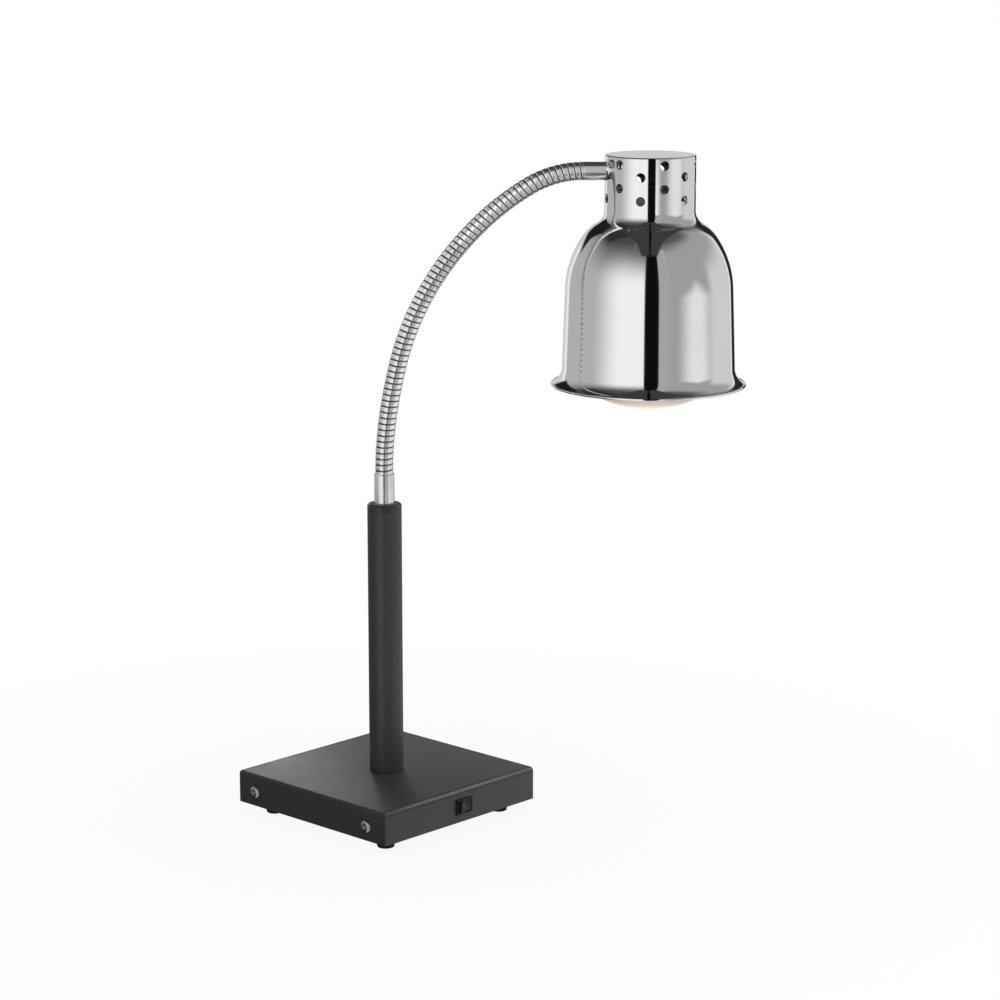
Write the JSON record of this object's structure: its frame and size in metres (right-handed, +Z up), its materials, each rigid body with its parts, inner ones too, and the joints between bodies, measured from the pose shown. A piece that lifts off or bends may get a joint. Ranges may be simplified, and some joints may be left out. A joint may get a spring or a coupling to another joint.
{
  "type": "freestanding heat lamp",
  "caption": "Heat lamp with a weighted square base, a post, a ribbed flexible neck and a chromed bell shade over a reflector bulb, with a rocker switch on the base.",
  "frame": {"origin": "on the floor plane under the feet, on the post's axis at the base's centre", "axes": "+Z up along the post; the base's sides lie along X and Y, with the rocker switch on the -Y side and the cord gland on the +Y side; the neck leans towards the base's (+X, -Y) corner"},
  "size_m": [0.3703, 0.3827, 0.6299],
  "materials": {
    "dark_coat": "fine satin texture powder coat",
    "chrome": "bright polished",
    "neck_steel": "satin nickel plate",
    "zinc_steel": "zinc plate",
    "ballast_iron": "plain",
    "foot_rubber": "matt",
    "switch_plastic": "smooth",
    "gland_plastic": "matt",
    "block_plastic": "natural nylon",
    "brass": "plain",
    "porcelain": "white glaze",
    "lamp_glass": "frosted inside",
    "cap_metal": "plain",
    "lead_sheath": "matt",
    "core_brown": "heat-proof sleeve",
    "core_black": "heat-proof sleeve",
    "core_blue": "heat-proof sleeve",
    "core_green": "heat-proof sleeve"
  },
  "bodies": {
    "stand": {"ballast_plate": "ballast_iron", "ballast_screws": "zinc_steel", "base_cover": "dark_coat", "base_tray": "zinc_steel", "cable_gland": "gland_plastic", "cover_screws": "chrome", "earth_stud": "zinc_steel", "earth_wire": "core_green", "flange_nuts": "zinc_steel", "foot_nuts": "zinc_steel", "foot_screws": "zinc_steel", "gland_cap": "gland_plastic", "gland_nut": "gland_plastic", "live_wire": "core_brown", "lower_ferrule": "neck_steel", "lower_nut": "zinc_steel", "neck_lead_1": "lead_sheath", "neck_section_1": "neck_steel", "neutral_wire": "core_blue", "post_bolt": "zinc_steel", "post_bush": "zinc_steel", "post_cap": "dark_coat", "post_lead": "lead_sheath", "post_nut": "zinc_steel", "post_tube": "dark_coat", "post_washer": "zinc_steel", "rubber_feet": "foot_rubber", "stiffener_plate": "zinc_steel", "switch_blades": "brass", "switch_housing": "switch_plastic", "switched_wire": "core_black", "terminal_block": "block_plastic", "terminal_screws": "brass"},
    "neck_2": {"neck_section_2": "neck_steel", "neck_lead_2": "lead_sheath"},
    "neck_3": {"neck_section_3": "neck_steel", "neck_lead_3": "lead_sheath"},
    "neck_4": {"neck_section_4": "neck_steel", "neck_lead_4": "lead_sheath"},
    "neck_5": {"neck_section_5": "neck_steel", "neck_lead_5": "lead_sheath"},
    "neck_6": {"neck_section_6": "neck_steel", "neck_lead_6": "lead_sheath"},
    "head": {"neck_section_7": "neck_steel", "neck_lead_7": "lead_sheath", "upper_ferrule": "neck_steel", "upper_nut": "zinc_steel", "shade": "chrome", "holder_bracket": "zinc_steel", "bracket_screws": "chrome", "lampholder": "porcelain", "lampholder_shell": "brass", "lampholder_contact": "brass", "holder_screws": "zinc_steel", "head_wires": "core_black", "bulb_glass": "lamp_glass", "bulb_cap": "cap_metal", "bulb_filament": "zinc_steel"},
    "rocker": {"switch_rocker": "switch_plastic"}
  },
  "joints": [
    {"name": "neck_bend_1", "type": "hinge", "parent": "stand", "child": "neck_2", "pos_m": [0.00259, -0.00259, 0.38376], "axis": [0.7071, 0.7071, 0], "range_deg": [-28, 15]},
    {"name": "neck_sway_2", "type": "hinge", "parent": "neck_2", "child": "neck_3", "pos_m": [0.00969, -0.00969, 0.4354], "axis": [0.6861, -0.6861, -0.2419], "range_deg": [-25, 25]},
    {"name": "neck_bend_3", "type": "hinge", "parent": "neck_3", "child": "neck_4", "pos_m": [0.02225, -0.02225, 0.48485], "axis": [0.7071, 0.7071, 0], "range_deg": [-28, 15]},
    {"name": "neck_bend_4", "type": "hinge", "parent": "neck_4", "child": "neck_5", "pos_m": [0.04138, -0.04138, 0.52989], "axis": [0.7071, 0.7071, 0], "range_deg": [-28, 15]},
    {"name": "neck_sway_5", "type": "hinge", "parent": "neck_5", "child": "neck_6", "pos_m": [0.06613, -0.06613, 0.5691], "axis": [0.4822, -0.4822, -0.7314], "range_deg": [-25, 25]},
    {"name": "neck_bend_6", "type": "hinge", "parent": "neck_6", "child": "head", "pos_m": [0.0958, -0.0958, 0.60072], "axis": [0.7071, 0.7071, 0], "range_deg": [-28, 15]},
    {"name": "rocker_press", "type": "hinge", "parent": "stand", "child": "rocker", "pos_m": [0.0032, -0.0992, 0.0262], "axis": [0, 0, -1], "range_deg": [0, 24]}
  ]
}
